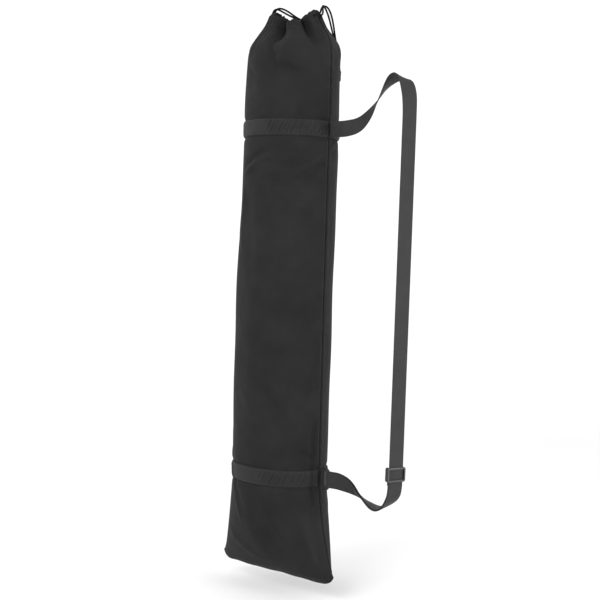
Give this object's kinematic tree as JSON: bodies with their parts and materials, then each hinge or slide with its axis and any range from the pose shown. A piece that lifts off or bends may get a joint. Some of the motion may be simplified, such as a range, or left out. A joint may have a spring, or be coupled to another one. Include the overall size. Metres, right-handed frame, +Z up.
{
  "type": "drawstring drawing tube bag",
  "caption": "Soft black fabric tube for rolled drawings, gathered by drawstrings at the mouth and sewn flat at the bottom, with an adjustable webbing shoulder strap.",
  "frame": {"origin": "the hanging point: middle of the mouth, level with the two ears of the gathered casing", "axes": "+Z up the tube towards the mouth, +X towards the side seam that carries the strap, -Y out of the front panel"},
  "size_m": [0.3522, 0.1555, 0.9069],
  "materials": {
    "bag_fabric": "matt woven nylon",
    "seam_binding": "matt tape",
    "band_webbing": "ribbed webbing with a slight sheen",
    "strap_webbing": "ribbed webbing",
    "drawstring_cord": "braided cord",
    "thread": "thread",
    "buckle_plastic": "fine satin moulding"
  },
  "bodies": {
    "bag": {"front_panel": "bag_fabric", "back_panel": "bag_fabric", "left_seam_binding": "seam_binding", "right_seam_binding": "seam_binding", "bottom_seam_binding": "seam_binding", "front_casing": "bag_fabric", "back_casing": "bag_fabric", "left_drawstring_run": "drawstring_cord", "right_drawstring_run": "drawstring_cord", "upper_band": "band_webbing", "lower_band": "band_webbing", "upper_strap_tab": "strap_webbing", "lower_ring_tab": "strap_webbing", "ring_tab_tacks": "thread"},
    "left_cord_ends": {"left_strand_front": "drawstring_cord", "left_strand_back": "drawstring_cord", "left_knot": "drawstring_cord"},
    "right_cord_ends": {"right_strand_front": "drawstring_cord", "right_strand_back": "drawstring_cord", "right_knot": "drawstring_cord"},
    "ring": {"lower_ring": "buckle_plastic"},
    "strap": {"shoulder_strap": "strap_webbing", "strap_return": "strap_webbing", "strap_end_tacks": "thread"},
    "adjuster": {"strap_adjuster": "buckle_plastic", "sewn_strap_end": "strap_webbing"}
  },
  "joints": [
    {"name": "strap_swing", "type": "hinge", "parent": "bag", "child": "strap", "pos_m": [0.088, 0, -0.193], "axis": [0, 0, 1], "range_deg": [-90, 90]},
    {"name": "ring_swing", "type": "hinge", "parent": "bag", "child": "ring", "pos_m": [0.088, 0, -0.735], "axis": [0, 0, 1], "range_deg": [-90, 90]},
    {"name": "adjuster_slide", "type": "slide", "parent": "strap", "child": "adjuster", "axis": [0, 0, 1], "range_m": [0, 0.3], "deforming": ["strap_return"]},
    {"name": "left_cord_pull", "type": "slide", "parent": "bag", "child": "left_cord_ends", "axis": [0, 0, 1], "range_m": [0, 0.03]},
    {"name": "right_cord_pull", "type": "slide", "parent": "bag", "child": "right_cord_ends", "axis": [1, 0, 0], "range_m": [0, 0.03]}
  ],
  "couplings": [
    {"joint": "ring_swing", "follows": "strap_swing", "ratio": 1}
  ]
}
